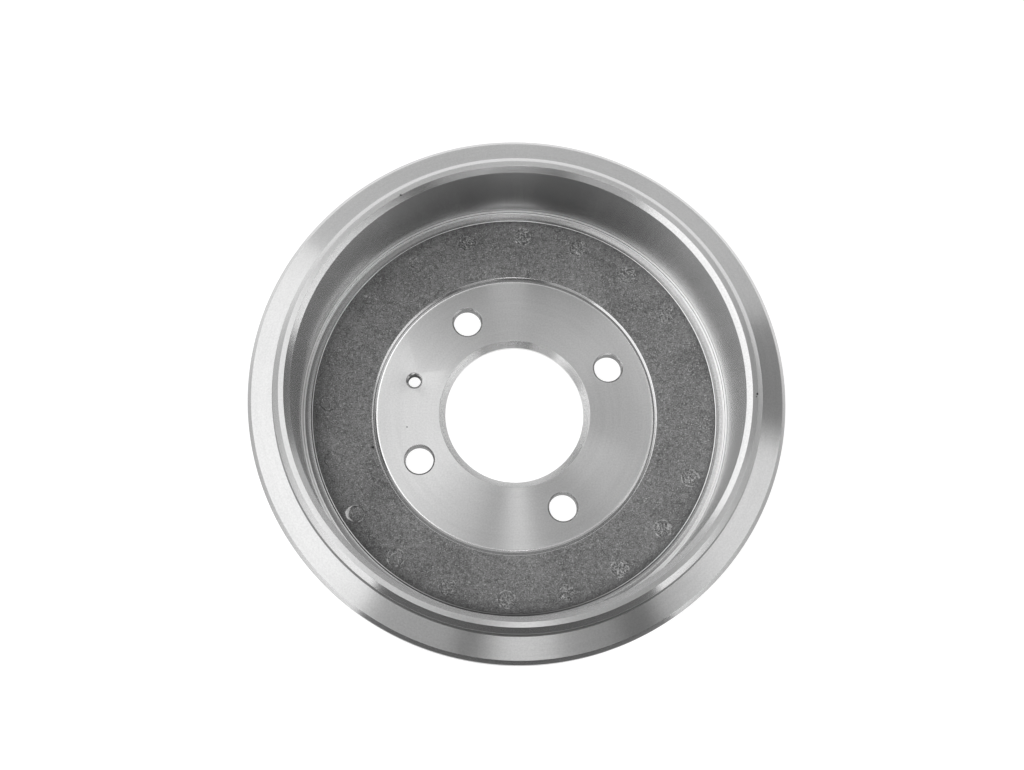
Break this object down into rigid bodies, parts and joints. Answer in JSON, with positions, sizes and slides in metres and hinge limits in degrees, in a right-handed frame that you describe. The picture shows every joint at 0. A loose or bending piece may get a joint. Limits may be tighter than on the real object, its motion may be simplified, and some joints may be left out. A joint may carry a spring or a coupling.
{
  "type": "brake drum",
  "caption": "Cast iron brake drum, open on one side, with a turned friction bore, a flanged rim and a flat hub disc bored for an axle and wheel bolts.",
  "frame": {"origin": "centre of the machined face that the wheel is clamped against, on the axis of rotation; the drum lies on this face", "axes": "+Z along the axis of rotation towards the open end; +X and +Y in the plane of the wheel face, with the first bolt hole 26.9 degrees from +X"},
  "size_m": [0.2732, 0.2732, 0.07],
  "materials": {
    "cast_iron": "turned bright on the friction bore, relief, lip, flange and hub faces; rough as cast on the web and the outside"
  },
  "bodies": {
    "root": {"brake_drum": "cast_iron"}
  },
  "joints": []
}
